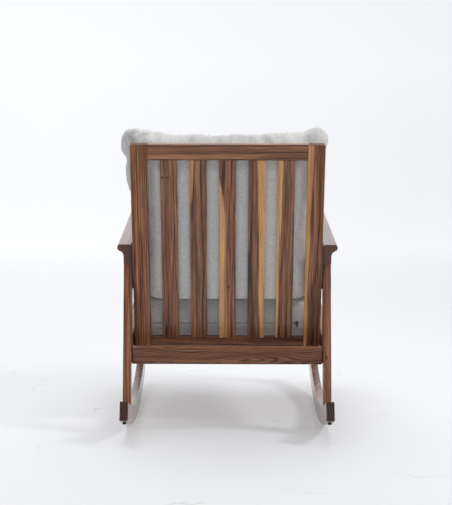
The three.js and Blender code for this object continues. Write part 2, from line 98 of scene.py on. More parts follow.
class Tree:
    """Adds nodes to a tree; every input takes a number, a tuple or another node's output."""

    def __init__(self, tree):
        self.tree = tree

    def node(self, kind, **settings):
        node = self.tree.nodes.new(kind)
        for key, value in settings.items():
            setattr(node, key, value)
        return node

    def feed(self, socket, value):
        if isinstance(value, bpy.types.NodeSocket):
            self.tree.links.new(value, socket)
        else:
            socket.default_value = value

    def math(self, operation, *values, clamp=False):
        node = self.node("ShaderNodeMath", operation=operation, use_clamp=clamp)
        for socket, value in zip(node.inputs, values):
            self.feed(socket, value)
        return node.outputs[0]

    def vector(self, operation, *values):
        node = self.node("ShaderNodeVectorMath", operation=operation)
        for socket, value in zip(node.inputs, values):
            self.feed(socket, value)
        scalar = operation in ("DOT_PRODUCT", "LENGTH", "DISTANCE")
        return node.outputs["Value" if scalar else "Vector"]

    def combine(self, x, y, z):
        node = self.node("ShaderNodeCombineXYZ")
        for socket, value in zip(node.inputs, (x, y, z)):
            self.feed(socket, value)
        return node.outputs[0]

    def split(self, vector):
        node = self.node("ShaderNodeSeparateXYZ")
        self.feed(node.inputs[0], vector)
        return node.outputs

    def noise(self, vector, seed=0.0, scale=1.0, detail=2.0, roughness=0.5):
        node = self.node("ShaderNodeTexNoise", noise_dimensions="4D")
        self.feed(node.inputs["Vector"], vector)
        self.feed(node.inputs["W"], seed)
        self.feed(node.inputs["Scale"], scale)
        self.feed(node.inputs["Detail"], detail)
        self.feed(node.inputs["Roughness"], roughness)
        return node.outputs[0]

    def remap(self, value, low, high, to_low=0.0, to_high=1.0, smooth=False):
        node = self.node("ShaderNodeMapRange", interpolation_type="SMOOTHSTEP" if smooth else "LINEAR")
        for socket, given in zip(node.inputs, (value, low, high, to_low, to_high)):
            self.feed(socket, given)
        return node.outputs[0]

    def mix(self, factor, first, second, blend="MIX"):
        node = self.node("ShaderNodeMix", data_type="RGBA", blend_type=blend)
        self.feed(node.inputs[0], factor)
        self.feed(node.inputs[6], first)
        self.feed(node.inputs[7], second)
        return node.outputs[2]

    def ramp(self, value, stops):
        node = self.node("ShaderNodeValToRGB")
        self.feed(node.inputs[0], value)
        elements = node.color_ramp.elements
        while len(elements) < len(stops):
            elements.new(0.5)
        for element, (position, colour) in zip(elements, stops):
            element.position = position
            element.color = (*colour, 1)
        return node.outputs[0]

    def bump(self, height, distance, strength=1.0):
        node = self.node("ShaderNodeBump")
        self.feed(node.inputs["Height"], height)
        self.feed(node.inputs["Distance"], distance)
        self.feed(node.inputs["Strength"], strength)
        return node.outputs[0]


def new_material(name):
    """A material with one Principled shader, as its tree and the shader's inputs."""
    material = bpy.data.materials.new(name)
    material.use_nodes = True
    tree = Tree(material.node_tree)
    shader = material.node_tree.nodes["Principled BSDF"]
    return material, tree, shader.inputs


def place(tree):
    return tree.node("ShaderNodeTexCoord").outputs["Object"]


# ------------------------------------------------------------------- walnut

DARK = (0.042, 0.015, 0.009)
BROWN = (0.225, 0.088, 0.046)
LIGHT = (0.480, 0.215, 0.104)
SAP_DARK = (0.400, 0.165, 0.062)
SAP_LIGHT = (0.740, 0.410, 0.165)
END_DARK = (0.026, 0.010, 0.007)
END_LIGHT = (0.270, 0.145, 0.100)
RUNNER_END_LIGHT = (0.115, 0.062, 0.050)


def make_figure():
    """The figure of sawn walnut. Place is metres along, across and through the board."""
    group = bpy.data.node_groups.new("walnut_figure", "ShaderNodeTree")
    sockets = [
        ("Place", "NodeSocketVector", None), ("Seed", "NodeSocketFloat", 0.0),
        ("Pith across", "NodeSocketFloat", 0.03), ("Pith through", "NodeSocketFloat", -0.1),
        ("Ring", "NodeSocketFloat", 0.006), ("Wander", "NodeSocketFloat", 0.014),
        ("Tone", "NodeSocketFloat", 0.0), ("Streaks", "NodeSocketFloat", 0.82),
        ("Lines", "NodeSocketFloat", 0.28), ("Sap side", "NodeSocketFloat", 1.0),
        ("Sap edge", "NodeSocketFloat", 1.0), ("Sap slope", "NodeSocketFloat", 0.0),
        ("Sap curve", "NodeSocketFloat", 0.0),
    ]
    for name, kind, default in sockets:
        socket = group.interface.new_socket(name, in_out="INPUT", socket_type=kind)
        if default is not None:
            socket.default_value = default
    group.interface.new_socket("Color", in_out="OUTPUT", socket_type="NodeSocketColor")
    group.interface.new_socket("Height", in_out="OUTPUT", socket_type="NodeSocketFloat")
    group.interface.new_socket("Roughness", in_out="OUTPUT", socket_type="NodeSocketFloat")

    t = Tree(group)
    given = t.node("NodeGroupInput").outputs
    where, seed = given["Place"], given["Seed"]
    along, across, through = t.split(where)

    def stretched(lengthwise, crosswise, offset, detail=2.0, roughness=0.5):
        vector = t.vector("MULTIPLY", where, (lengthwise, crosswise, crosswise))
        return t.noise(vector, t.math("ADD", seed, offset), detail=detail, roughness=roughness)

    def wandering(offset):
        value = t.math("SUBTRACT", stretched(2.4, 9.0, offset), 0.5)
        return t.math("MULTIPLY", value, given["Wander"])

    # Growth rings are cylinders round a pith line that wanders along the board.
    ring_a = t.math("SUBTRACT", t.math("ADD", across, wandering(0.0)), given["Pith across"])
    ring_b = t.math("SUBTRACT", t.math("ADD", through, wandering(7.0)), given["Pith through"])
    square = t.math("ADD", t.math("MULTIPLY", ring_a, ring_a), t.math("MULTIPLY", ring_b, ring_b))
    radius = t.math("SQRT", square)
    ripple = t.math("MULTIPLY", stretched(5.0, 60.0, 3.0), 0.55)
    turns = t.math("ADD", t.math("DIVIDE", radius, given["Ring"]), ripple)
    wave = t.math("SINE", t.math("MULTIPLY", turns, 2 * math.pi))
    line = t.math("POWER", t.math("MULTIPLY_ADD", wave, 0.5, 0.5), 4.0)
    band_place = t.combine(t.math("MULTIPLY", along, 0.9), t.math("MULTIPLY", radius, 62.0), 0.0)
    band = t.noise(band_place, t.math("ADD", seed, 11.0), detail=3.0, roughness=0.55)
    streak = stretched(2.6, 130.0, 17.0, detail=3.0, roughness=0.65)
    fibre = stretched(9.0, 330.0, 23.0, detail=3.0, roughness=0.65)
    pore = t.remap(stretched(55.0, 1700.0, 29.0, detail=1.0), 0.60, 0.72)

    tone = t.math("MULTIPLY", t.math("SUBTRACT", band, 0.5), 1.5)
    tone = t.math("MULTIPLY_ADD", t.math("SUBTRACT", streak, 0.5), 1.6, tone)
    tone = t.math("MULTIPLY_ADD", t.math("SUBTRACT", fibre, 0.5), 2.0, tone)
    tone = t.math("MULTIPLY_ADD", tone, given["Streaks"], 0.56)
    tone = t.math("SUBTRACT", tone, t.math("MULTIPLY", line, given["Lines"]))
    tone = t.math("ADD", tone, given["Tone"], clamp=True)
    heart = t.ramp(tone, [(0.05, DARK), (0.50, BROWN), (0.95, LIGHT)])

    sap_tone = t.math("MULTIPLY_ADD", t.math("SUBTRACT", streak, 0.5), 2.2, 0.58)
    sap_tone = t.math("MULTIPLY_ADD", t.math("SUBTRACT", fibre, 0.5), 1.5, sap_tone, clamp=True)
    sap = t.ramp(sap_tone, [(0.15, SAP_DARK), (0.85, SAP_LIGHT)])
    ahead = t.math("MAXIMUM", along, 0.0)
    bend = t.math("MULTIPLY", t.math("POWER", ahead, 3.0), given["Sap curve"])
    edge = t.math("ADD", t.math("MULTIPLY_ADD", along, given["Sap slope"], given["Sap edge"]), bend)
    ragged = t.math("MULTIPLY", t.math("SUBTRACT", stretched(5.0, 90.0, 31.0, detail=3.0), 0.5), 0.020)
    depth = t.math("SUBTRACT", t.math("MULTIPLY", across, given["Sap side"]), t.math("ADD", edge, ragged))
    sap_share = t.remap(depth, -0.0030, 0.0034, smooth=True)
    colour = t.mix(sap_share, heart, sap)
    shade = t.math("MULTIPLY_ADD", pore, -0.38, 1.0)
    colour = t.mix(1.0, colour, t.combine(shade, shade, shade), blend="MULTIPLY")

    height = t.math("MULTIPLY_ADD", pore, -1.0, t.math("MULTIPLY", fibre, 0.35))
    rough = t.math("MULTIPLY_ADD", fibre, 0.16, t.math("MULTIPLY_ADD", pore, 0.18, 0.36))
    out = t.node("NodeGroupOutput")
    t.feed(out.inputs["Color"], colour)
    t.feed(out.inputs["Height"], height)
    t.feed(out.inputs["Roughness"], rough)
    return group


FIGURE = make_figure()


def board_place(tree, origin, along, across):
    """Metres along, across and through a board, from its middle."""
    through = Vector(along).cross(Vector(across)).normalized()
    offset = tree.vector("SUBTRACT", place(tree), tuple(origin))
    axes = [tree.vector("DOT_PRODUCT", offset, tuple(axis)) for axis in (along, across, through)]
    return axes


def walnut(name, origin, along, across, seed, knots=(), gloss=1.35, coat=1.0, **figure):
    """A satin walnut material for one board; knots are (along, across, size, stretch)."""
    material, tree, shader = new_material(name)
    place_l, place_a, place_t = board_place(tree, origin, along, across)
    spots = []
    for knot_l, knot_a, size, stretch in knots:
        dl = tree.math("DIVIDE", tree.math("SUBTRACT", place_l, knot_l), size * 1.7)
        da = tree.math("DIVIDE", tree.math("SUBTRACT", place_a, knot_a), size * stretch)
        square = tree.math("ADD", tree.math("MULTIPLY", dl, dl), tree.math("MULTIPLY", da, da))
        near = tree.math("EXPONENT", tree.math("MULTIPLY", square, -0.35))
        push = tree.math("MULTIPLY", tree.math("SUBTRACT", place_a, knot_a), near)
        place_a = tree.math("MULTIPLY_ADD", push, -0.75, place_a)
        place_a = tree.math("MULTIPLY_ADD", near, size * 0.6, place_a)
        spots.append(tree.remap(square, 1.3, 0.15, smooth=True))
    group = tree.node("ShaderNodeGroup", node_tree=FIGURE)
    tree.feed(group.inputs["Place"], tree.combine(place_l, place_a, place_t))
    group.inputs["Seed"].default_value = seed
    for key, value in figure.items():
        group.inputs[key.replace("_", " ").capitalize()].default_value = value
    colour = group.outputs["Color"]
    for spot in spots:
        colour = tree.mix(tree.math("MULTIPLY", spot, 0.82), colour, (0.030, 0.016, 0.011, 1))
    tree.feed(shader["Base Color"], colour)
    tree.feed(shader["Roughness"], group.outputs["Roughness"])
    tree.feed(shader["Normal"], tree.bump(group.outputs["Height"], 0.00025, 0.6))
    shader["Specular IOR Level"].default_value = 0.15
    shader["Coat Weight"].default_value = coat
    shader["Coat IOR"].default_value = gloss
    shader["Coat Roughness"].default_value = 0.22
    return material


def end_grain(name, origin, along, across, seed, slant=0.8, light=END_LIGHT):
    """The sawn end of a board: dark, with growth rings that cross it at a slant."""
    material, tree, shader = new_material(name)
    place_l, place_a, place_t = board_place(tree, origin, along, across)
    wander = tree.noise(tree.combine(place_a, place_t, place_l), seed, scale=40.0, detail=2.0)
    turns = tree.math("MULTIPLY_ADD", place_t, slant, place_a)
    turns = tree.math("MULTIPLY_ADD", wander, 0.008, turns)
    wave = tree.math("SINE", tree.math("MULTIPLY", turns, 2 * math.pi / 0.0085))
    pore = tree.noise(tree.combine(place_a, place_t, place_l), seed + 3.0, scale=900.0, detail=1.0)
    share = tree.math("MULTIPLY_ADD", wave, 0.46, tree.math("MULTIPLY", pore, 0.9), clamp=True)
    tree.feed(shader["Base Color"], tree.mix(share, (*END_DARK, 1), (*light, 1)))
    tree.feed(shader["Normal"], tree.bump(pore, 0.0002, 0.6))
    shader["Roughness"].default_value = 0.55
    shader["Specular IOR Level"].default_value = 0.25
    return material


def dress(node, material, bevel=0.0, segments=3, ends=None, along=None):
    """Gives a carried-over CAD node its material, its ends another, and softens its sawn edges."""
    piece = nodes[node]
    piece.data.materials.clear()
    piece.data.materials.append(material)
    if ends:
        piece.data.materials.append(ends)
        for polygon in piece.data.polygons:
            polygon.material_index = int(abs(polygon.normal.dot(Vector(along).normalized())) > 0.85)
    if not bevel:
        return
    piece.modifiers.new("weld", "WELD").merge_threshold = 0.00001
    flat = piece.modifiers.new("flatten", "DECIMATE")
    flat.decimate_type = "DISSOLVE"
    flat.angle_limit = math.radians(0.4)
    soft = piece.modifiers.new("soft_edges", "BEVEL")
    soft.width = bevel
    soft.segments = segments
    soft.limit_method = "ANGLE"
    soft.angle_limit = math.radians(32)
    soft.use_clamp_overlap = False
    soft.harden_normals = False
    for polygon in piece.data.polygons:
        polygon.use_smooth = True
    weighted = piece.modifiers.new("even_shading", "WEIGHTED_NORMAL")
    weighted.keep_sharp = False


def middle(node):
    low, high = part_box(node)
    return (low + high) / 2


LEG_UP = {
    "rear": Vector((0, -math.sin(math.radians(10.9)), math.cos(math.radians(10.9)))),
    "front": Vector((0, math.sin(math.radians(4)), math.cos(math.radians(4)))),
}
RUNNER_END = Vector((0, math.cos(math.radians(23)), math.sin(math.radians(23))))
ARM_RISE = math.radians(6.3)
ARM_ALONG = Vector((0, -math.cos(ARM_RISE), math.sin(ARM_RISE)))


def dress_wood():
    back_boards = {
        "back_slat_1": dict(seed=1.3, tone=-0.02, pith_across=0.05, pith_through=-0.07, wander=0.03,
                            knots=[(0.242, 0.0205, 0.0042, 1.0), (0.243, 0.006, 0.0014, 6.0)]),
        "back_slat_2": dict(seed=5.1, tone=-0.02, sap_side=1, sap_edge=0.0327, sap_slope=-0.072),
        "back_slat_3": dict(seed=9.7, tone=0.03, sap_side=1, sap_edge=0.0013, sap_slope=0.006,
                            sap_curve=1.68, knots=[(-0.121, -0.0046, 0.0036, 1.0)]),
        "back_slat_4": dict(seed=14.2, tone=-0.12, sap_side=-1, sap_edge=0.00625, sap_slope=-0.0153),
        "back_slat_5": dict(seed=18.8, tone=-0.04, sap_side=1, sap_edge=0.0155, sap_slope=-0.010,
                            sap_curve=-0.1, knots=[(0.279, -0.0023, 0.0022, 0.8)]),
        "back_stile_left": dict(seed=23.9, tone=0.04, pith_across=0.09, pith_through=-0.05, coat=0.3),
        "back_stile_right": dict(seed=27.4, tone=0.03, sap_side=1, sap_edge=0.0165, sap_slope=-0.006,
                                 sap_curve=-0.155, coat=0.3),
    }
    for node, look in back_boards.items():
        stile = "stile" in node
        ends = end_grain(f"{node}_end", middle(node), BACK.z, X, look["seed"]) if stile else None
        dress(node, walnut(node, middle(node), BACK.z, X, **look), 0.0035 if stile else 0.0016,
              ends=ends, along=BACK.z)
    cross_boards = {
        "back_top_rail": dict(across=BACK.z, seed=31.1, tone=0.0, pith_across=0.06, pith_through=-0.06,
                              ring=0.008, wander=0.02),
        "back_lower_rail": dict(across=BACK.z, seed=35.6, tone=0.02),
        "rear_rail": dict(across=SEAT.z, seed=40.3, tone=-0.06, streaks=0.45, lines=0.40,
                          pith_across=-0.008, pith_through=-0.022, ring=0.0062, wander=0.16, coat=0.5,
                          knots=[(0.019, 0.004, 0.0016, 1.0), (0.062, -0.011, 0.0016, 1.0),
                                 (-0.175, 0.010, 0.0014, 1.0)]),
        "front_rail": dict(across=SEAT.z, seed=44.8, tone=0.0, pith_across=0.02, pith_through=-0.06,
                           wander=0.05),
    }
    for node, look in cross_boards.items():
        edge = 0.0018 if "back" in node else 0.0055
        top = None
        if node == "rear_rail":
            # Painted highlight: the rear rail's top and bottom faces get their own lighter (tone 0.25),
            # glossier walnut, standing in for the light that catches the rail's top edge.
            top = walnut("rear_rail_top_painted_highlight", middle(node), X, SEAT.z, seed=42.0, tone=0.25, streaks=0.5,
                         gloss=2.2)
        dress(node, walnut(node, middle(node), X, **look), edge, ends=top, along=SEAT.z)
    for number in range(1, 6):
        node = f"seat_slat_{number}"
        dress(node, walnut(node, middle(node), X, SEAT.y, seed=50.0 + 3.3 * number, tone=0.05), 0.0015)
    for index, side in enumerate(("left", "right")):
        shift = 4.7 * index
        sign = 1 - 2 * index
        rail = f"seat_side_rail_{side}"
        dress(rail, walnut(rail, middle(rail), SEAT.y, SEAT.z, seed=70.0 + shift), 0.003)
        cleat = f"seat_cleat_{side}"
        dress(cleat, walnut(cleat, middle(cleat), SEAT.y, SEAT.z, seed=75.0 + shift, tone=0.1), 0.001)
        runner = f"runner_{side}"
        centre = middle(runner)
        look = walnut(runner, centre, Vector((0, 1, 0)), Vector((0, 0, 1)), seed=80.0 + shift,
                      pith_across=-0.3, pith_through=-0.05, tone=-0.12, streaks=0.6, gloss=2.1)
        ends = end_grain(f"{runner}_end", centre, RUNNER_END, X, 81.0 + shift, slant=0.15,
                         light=RUNNER_END_LIGHT)
        dress(runner, look, 0.0022, ends=ends, along=RUNNER_END)
        arm = f"arm_{side}"
        centre = middle(arm)
        look = walnut(arm, centre, ARM_ALONG, X, seed=85.0 + shift, pith_across=0.04 * sign,
                      pith_through=-0.03, ring=0.0035, tone=-0.14, streaks=0.5, gloss=2.2)
        ends = end_grain(f"{arm}_end", centre, ARM_ALONG, X, 86.0 + shift)
        dress(arm, look, 0.0015, ends=ends, along=ARM_ALONG)
        leg = f"rear_leg_{side}"
        knots = [(-0.078, 0.004, 0.004, 0.9)] if index else []
        dress(leg, walnut(leg, middle(leg), LEG_UP["rear"], X, seed=90.0 + shift, knots=knots,
                          pith_through=-0.02 - 0.04 * (1 - index), wander=0.02 + 0.05 * index,
                          ring=0.005, tone=0.02, streaks=0.6), 0.003)
        leg = f"front_leg_{side}"
        dress(leg, walnut(leg, middle(leg), LEG_UP["front"], X, seed=95.0 + shift), 0.003)


dress_wood()


# ------------------------------------------------------- metal, rubber, nylon

def plain_material(name, colour, roughness, metallic, grain, bump):
    """Metal, rubber or plastic with fine mottling, handling marks and a slight texture."""
    material, tree, shader = new_material(name)
    spot = place(tree)
    coarse = tree.noise(spot, scale=90.0, detail=4.0)
    fine = tree.noise(spot, scale=grain, detail=3.0)
    dark = tuple(c * 0.72 for c in colour)
    tree.feed(shader["Base Color"], tree.mix(coarse, (*dark, 1), (*colour, 1)))
    tree.feed(shader["Roughness"], tree.remap(fine, 0.3, 0.7, roughness - 0.08, roughness + 0.1))
    tree.feed(shader["Normal"], tree.bump(fine, bump, 0.7))
    shader["Metallic"].default_value = metallic
    return material


def dress_hardware():
    zinc = plain_material("zinc_plate", (0.56, 0.57, 0.58), 0.32, 1.0, 1400.0, 0.00006)
    rubber = plain_material("black_rubber", (0.030, 0.030, 0.032), 0.75, 0.0, 2200.0, 0.00015)
    nylon = plain_material("black_nylon", (0.040, 0.040, 0.043), 0.5, 0.0, 900.0, 0.00008)
    for node in nodes:
        if "bolt" in node or "screw" in node:
            dress(node, zinc, 0.0003, 2)
        elif "bumper" in node:
            dress(node, rubber, 0.0007, 3)
        elif "spacer" in node:
            dress(node, nylon, 0.0004, 2)


dress_hardware()


# -------------------------------------------------------------------- linen

def linen(name, axes, seed, tint=(0.640, 0.637, 0.617)):
    """Light grey linen: a plain weave with slubs, woven along the part's own axes."""
    material, tree, shader = new_material(name)
    offset = tree.vector("SUBTRACT", place(tree), tuple(axes.origin))
    u = tree.vector("DOT_PRODUCT", offset, (1, 0, 0))
    v = tree.vector("DOT_PRODUCT", offset, tuple(axes.z))
    w = tree.vector("DOT_PRODUCT", offset, tuple(axes.y))
    v = tree.math("ADD", v, w)
    thread = 2 * math.pi / 0.0013
    warp = tree.math("SINE", tree.math("MULTIPLY", u, thread))
    weft = tree.math("SINE", tree.math("MULTIPLY", v, thread))
    weave = tree.math("MULTIPLY_ADD", tree.math("MULTIPLY", warp, weft), 0.5, 0.5)
    spot = tree.combine(u, v, w)
    slub_u = tree.noise(tree.vector("MULTIPLY", spot, (70, 620, 90)), seed, detail=3.0)
    slub_v = tree.noise(tree.vector("MULTIPLY", spot, (620, 70, 90)), seed + 5.0, detail=3.0)
    fleck = tree.noise(tree.vector("MULTIPLY", spot, (200, 200, 200)), seed + 9.0, detail=3.0,
                       roughness=0.65)
    cloud = tree.noise(tree.vector("MULTIPLY", spot, (9, 9, 9)), seed + 13.0, detail=2.0)
    shade = tree.math("MULTIPLY_ADD", tree.math("ADD", slub_u, slub_v), 0.5, -0.5)
    value = tree.math("MULTIPLY_ADD", shade, 0.55, 0.99)
    value = tree.math("MULTIPLY_ADD", tree.math("SUBTRACT", fleck, 0.5), 0.85, value)
    value = tree.math("MULTIPLY_ADD", tree.math("SUBTRACT", cloud, 0.5), 0.08, value)
    value = tree.math("MULTIPLY_ADD", weave, 0.05, value)
    shades = tree.combine(value, value, tree.math("MULTIPLY", value, 1.004))
    colour = tree.mix(1.0, (*tint, 1), shades, "MULTIPLY")
    tree.feed(shader["Base Color"], colour)
    tree.feed(shader["Roughness"], tree.remap(fleck, 0.3, 0.7, 0.86, 0.97))
    height = tree.math("MULTIPLY_ADD", shade, 1.6, tree.math("MULTIPLY", weave, 0.8))
    tree.feed(shader["Normal"], tree.bump(height, 0.00035, 0.8))
    shader["Sheen Weight"].default_value = 0.25
    shader["Sheen Roughness"].default_value = 0.5
    shader["Specular IOR Level"].default_value = 0.2
    return material


# ----------------------------------------------------------- mesh and cloth

def mesh_piece(name, points, faces, material, smooth=True):
    mesh = bpy.data.meshes.new(name)
    mesh.from_pydata([tuple(p) for p in points], [], faces)
    mesh.update()
    for polygon in mesh.polygons:
        polygon.use_smooth = smooth
    piece = bpy.data.objects.new(name, mesh)
    bpy.context.scene.collection.objects.link(piece)
    mesh.materials.append(material)
    return piece


def smoothstep(low, high, value):
    share = max(0.0, min(1.0, (value - low) / (high - low)))
    return share * share * (3 - 2 * share)


def inflate(piece, pressure, grow, cap, pinned=(), frames=20):
    """Fills a closed case by cloth simulation; no point moves further than cap, pinned ones not at all."""
    scene = bpy.context.scene
    start = [v.co.copy() for v in piece.data.vertices]
    cloth = piece.modifiers.new("cloth", "CLOTH")
    settings = cloth.settings
    settings.quality = 6
    settings.mass = 0.25
    settings.tension_stiffness = 18
    settings.compression_stiffness = 12
    settings.shear_stiffness = 6
    settings.bending_stiffness = 0.35
    settings.use_pressure = True
    settings.uniform_pressure_force = pressure
    settings.shrink_min = -grow
    settings.effector_weights.gravity = 0
    cloth.collision_settings.use_collision = False
    if pinned:
        seam = piece.vertex_groups.new(name="seam")
        seam.add(list(pinned), 1.0, "REPLACE")
        settings.vertex_group_mass = "seam"
    cloth.point_cache.frame_start = 1
    cloth.point_cache.frame_end = frames
    for number in range(1, frames + 1):
        scene.frame_set(number)
    filled = piece.evaluated_get(bpy.context.evaluated_depsgraph_get())
    end = [v.co.copy() for v in filled.data.vertices]
    piece.modifiers.remove(cloth)
    piece.vertex_groups.clear()
    for vertex, before, after in zip(piece.data.vertices, start, end):
        move = after - before
        if move.length > cap:
            move *= cap / move.length
        vertex.co = before + move
    scene.frame_set(1)
    piece.data.update()


def subdivide(piece, levels=1):
    modifier = piece.modifiers.new("fine", "SUBSURF")
    modifier.levels = levels
    modifier.render_levels = levels


# ------------------------------------------------------------- back cushion

def bell(value, centre, width):
    return math.exp(-((value - centre) / width) ** 2)


def rounded(u, v, corner_u, corner_v):
    """Pulls a point of the square -1..1 onto one with rounded corners."""
    du = abs(u) - (1 - corner_u)
    dv = abs(v) - (1 - corner_v)
    if du <= 0 or dv <= 0:
        return u, v
    du, dv = du / corner_u, dv / corner_v
    scale = max(du, dv) / math.hypot(du, dv)
    u = math.copysign(1 - corner_u + du * scale * corner_u, u)
    v = math.copysign(1 - corner_v + dv * scale * corner_v, v)
    return u, v


def back_side(z, left):
    """How far the cushion reaches sideways at a height: held in by the arms, free above them."""
    if left:
        reach = BACK_HALF + 0.022 * smoothstep(-0.235, -0.125, z) + 0.0120 * smoothstep(-0.075, -0.030, z)
        return reach - 0.005 * bell(z, -0.0725, 0.012)
    return BACK_HALF - 0.002 + 0.005 * smoothstep(-0.200, -0.120, z) + 0.013 * smoothstep(-0.060, -0.010, z)


def back_crest(x):
    """The height of the top seam: nearly level, lifting to an ear at each end."""
    if x > 0:
        return BACK_CREST + 0.017 * smoothstep(0.13, 0.270, x)
    return BACK_CREST + 0.009 * smoothstep(0.04, 0.20, -x) + 0.015 * smoothstep(0.225, 0.265, -x)


BACK_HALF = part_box("rear_leg_left")[0].x - 0.0025
BACK_CREST = 0.0155
BACK_MIDDLE = -STILE_DEPTH - 0.062


def back_cushion():
    """A knife-edged cushion that stands on the seat, leans on the slats and keeps soft ears."""
    low, high = BACK.extent("back_cushion")
    foot = low[2] - 0.045
    columns, rows = 76, 72
    rear_swell, front_swell = 0.072, 0.060

    def plan(u, v):
        top = v > 0
        corner = 0.040 if top else 0.075
        u, v = rounded(u, v, corner / 0.3, corner / 0.27)
        height = (v + 1) / 2
        z = foot + (back_crest(u * BACK_HALF) - foot) * height
        return u * back_side(z, u > 0), z

    def even(value):
        """Crowds the grid lines towards the seam."""
        return math.sin(value * math.pi / 2) * 0.4 + value * 0.6

    points, index = [], {}
    for face in (0, 1):
        for i in range(columns + 1):
            for j in range(rows + 1):
                rim = i in (0, columns) or j in (0, rows)
                if rim and face:
                    index[face, i, j] = index[0, i, j]
                    continue
                u, v = even(2 * i / columns - 1), even(2 * j / rows - 1)
                x, z = plan(u, v)
                fill = math.sqrt((1 - abs(u) ** 5) * (1 - abs(v) ** (5 if v > 0 else 12)))
                y = BACK_MIDDLE + (rear_swell if face else -front_swell) * fill
                index[face, i, j] = len(points)
                points.append(BACK.world(x, y, z))
    faces = []
    for face in (0, 1):
        for i in range(columns):
            for j in range(rows):
                quad = [index[face, i + di, j + dj] for di, dj in ((0, 0), (1, 0), (1, 1), (0, 1))]
                faces.append(quad if face == 0 else quad[::-1])
    piece = mesh_piece("back_cushion_case", points, faces, linen("linen_back", BACK, 3.0))
    rim = [index[0, i, j] for i in range(columns + 1) for j in range(rows + 1)
           if i in (0, columns) or j in (0, rows)]
    inflate(piece, 3.5, 0.03, 0.012, rim)
    wrinkle_back(piece, foot)
    rest_back_cushion(piece)
    subdivide(piece)
    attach(piece, "back_cushion")
    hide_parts("back_cushion")
    return piece


def wrinkle_back(piece, foot):
    """Gathers along the seam, a folded dart at one ear, and slow dents over both faces."""
    normals = [vertex.normal.copy() for vertex in piece.data.vertices]
    for vertex, normal in zip(piece.data.vertices, normals):
        x, y, z = BACK.local(vertex.co)
        to_top = max(0.0, back_crest(x) - z)
        to_side = max(0.0, back_side(z, x > 0) - abs(x))
        to_foot = max(0.0, z - foot)
        rear = y > BACK_MIDDLE
        seed = 4.0 if rear else 9.0
        wide = noise.noise(Vector((x * 15, to_top * 5, seed)))
        fine = noise.noise(Vector((x * 42 + to_top * 10, to_top * 8, seed + 2)))
        crease = 1 - abs(noise.noise(Vector((x * 30 + to_top * 6, to_top * 6, seed + 3))))
        push = (0.0048 * wide + 0.0020 * fine - 0.0040 * crease ** 6) * math.exp(-to_top / 0.055)
        side = noise.noise(Vector((to_side * 8, z * 24 + to_side * 9, seed + 5)))
        push += 0.0055 * side * math.exp(-to_side / 0.050)
        low = noise.noise(Vector((x * 20, to_foot * 9, seed + 7)))
        push += 0.0030 * low * math.exp(-to_foot / 0.04)
        push += 0.0035 * noise.noise(Vector((x * 7, z * 6, seed + 11)))
        if rear:
            across_dart = (x - 0.300) * 0.914 - (z + 0.003) * 0.406
            along_dart = (x - 0.300) * 0.406 + (z + 0.003) * 0.914
            push -= 0.0150 * bell(across_dart, 0.0, 0.0075) * bell(along_dart, 0.0, 0.016)
        vertex.co = Vector(vertex.co) + normal * push
    piece.data.update()


def settle_below(value, limit, soft):
    """Lets a value approach a limit smoothly from below and never pass it."""
    over = value - (limit - soft)
    return value if over <= 0 else limit - soft * math.exp(-over / soft)


def rest_back_cushion(piece):
    """Flattens the case where it meets the slats, the stiles, the top rail, the arms and the seat."""
    slat_front = BACK.extent("back_slat_3")[0][1] - 0.0012
    stile_front = -STILE_DEPTH - 0.0012
    rail_low = BACK.extent("back_top_rail")[0]
    seat_top = SEAT_HEIGHT + SEAT_LOFT + 0.0012
    arm_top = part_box("arm_left")[1].z
    for vertex in piece.data.vertices:
        x, y, z = BACK.local(vertex.co)
        side = smoothstep(STILE_INNER - 0.030, STILE_INNER - 0.002, abs(x))
        limit = slat_front + (stile_front - slat_front) * side
        rail = smoothstep(rail_low[2] - 0.045, rail_low[2] - 0.004, z) * (1 - side)
        limit += (rail_low[1] - 0.0012 - slat_front) * rail
        y = settle_below(y, limit, 0.004)
        if vertex.co.z < arm_top + 0.02:
            x = math.copysign(settle_below(abs(x), BACK_HALF + 0.001, 0.002), x)
        vertex.co = BACK.world(x, y, z)
        sx, sy, sz = SEAT.local(vertex.co)
        sz = -settle_below(-sz, -seat_top, 0.003)
        low = max(0.0, 1 - (sz - seat_top) / 0.014)
        lift = 0.0068 * low * smoothstep(0.064, 0.034, limit - y)
        vertex.co = SEAT.world(sx, sy - 0.004 * low ** 2, sz + lift)
    piece.data.update()


back_cushion()


# ------------------------------------------------------------- seat cushion

